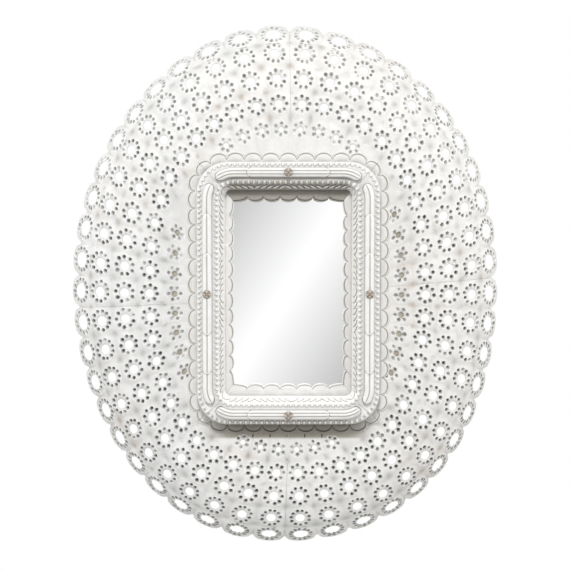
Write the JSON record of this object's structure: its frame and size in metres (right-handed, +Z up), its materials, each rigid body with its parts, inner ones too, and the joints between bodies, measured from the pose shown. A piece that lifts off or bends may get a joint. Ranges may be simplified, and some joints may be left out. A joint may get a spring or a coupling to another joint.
{
  "type": "oval wall mirror",
  "caption": "Oval wall mirror: a pierced, domed tin panel with a scalloped rim round a raised rectangular moulding and a mirror, on a timber back with a hanging ring.",
  "frame": {"origin": "centre of the middle rail's back face, on the wall plane, straight behind the middle of the glass", "axes": "+X to the right seen from the front, +Y towards the wall, +Z up; the front faces -Y"},
  "size_m": [0.6519, 0.0941, 0.7917],
  "materials": {
    "white_tin": "matt whitewash over punched tin, dark in the punch marks, light rust spots",
    "white_moulding": "matt whitewash over embossed tin, grime in the grooves",
    "bare_tin": "dull bare tin",
    "silvered_glass": "clear silvered mirror",
    "pine": "sawn, unfinished softwood",
    "zinc_steel": "zinc-plated steel",
    "rusty_iron": "rust-brown iron with whitewash left in the recesses"
  },
  "bodies": {
    "mirror": {"backing_board": "pine", "crest_bottom": "white_moulding", "crest_left": "white_moulding", "crest_right": "white_moulding", "crest_top": "white_moulding", "hanger_strap": "zinc_steel", "inner_scallop_bottom": "white_moulding", "inner_scallop_left": "white_moulding", "inner_scallop_right": "white_moulding", "inner_scallop_top": "white_moulding", "mirror_glass": "silvered_glass", "moulding_bottom": "white_moulding", "moulding_left": "white_moulding", "moulding_right": "white_moulding", "moulding_top": "white_moulding", "outer_scallop_bottom": "white_moulding", "outer_scallop_left": "white_moulding", "outer_scallop_right": "white_moulding", "outer_scallop_top": "white_moulding", "panel_bottom_left": "white_tin", "panel_bottom_right": "white_tin", "panel_top_left": "white_tin", "panel_top_right": "white_tin", "rail_bottom": "pine", "rail_middle": "pine", "rail_top": "pine", "rosette_nail_bottom": "rusty_iron", "rosette_nail_left": "rusty_iron", "rosette_nail_right": "rusty_iron", "rosette_nail_top": "rusty_iron", "screw_hanger_lower": "zinc_steel", "screw_hanger_upper": "zinc_steel", "screw_rail_bottom_1": "zinc_steel", "screw_rail_middle_1": "zinc_steel", "screw_rail_middle_2": "zinc_steel", "screw_rail_top_1": "zinc_steel", "screw_stile_left_1": "zinc_steel", "screw_stile_left_2": "zinc_steel", "screw_stile_right_1": "zinc_steel", "screw_stile_right_2": "zinc_steel", "seam_strap_bottom": "bare_tin", "seam_strap_left": "bare_tin", "seam_strap_right": "bare_tin", "seam_strap_top": "bare_tin", "stile_left": "pine", "stile_right": "pine"},
    "ring": {"hanger_ring": "zinc_steel"}
  },
  "joints": [
    {"name": "ring_swing", "type": "hinge", "parent": "mirror", "child": "ring", "pos_m": [0, -0.0383, 0.104], "axis": [1, 0, 0], "range_deg": [0, 180]}
  ]
}
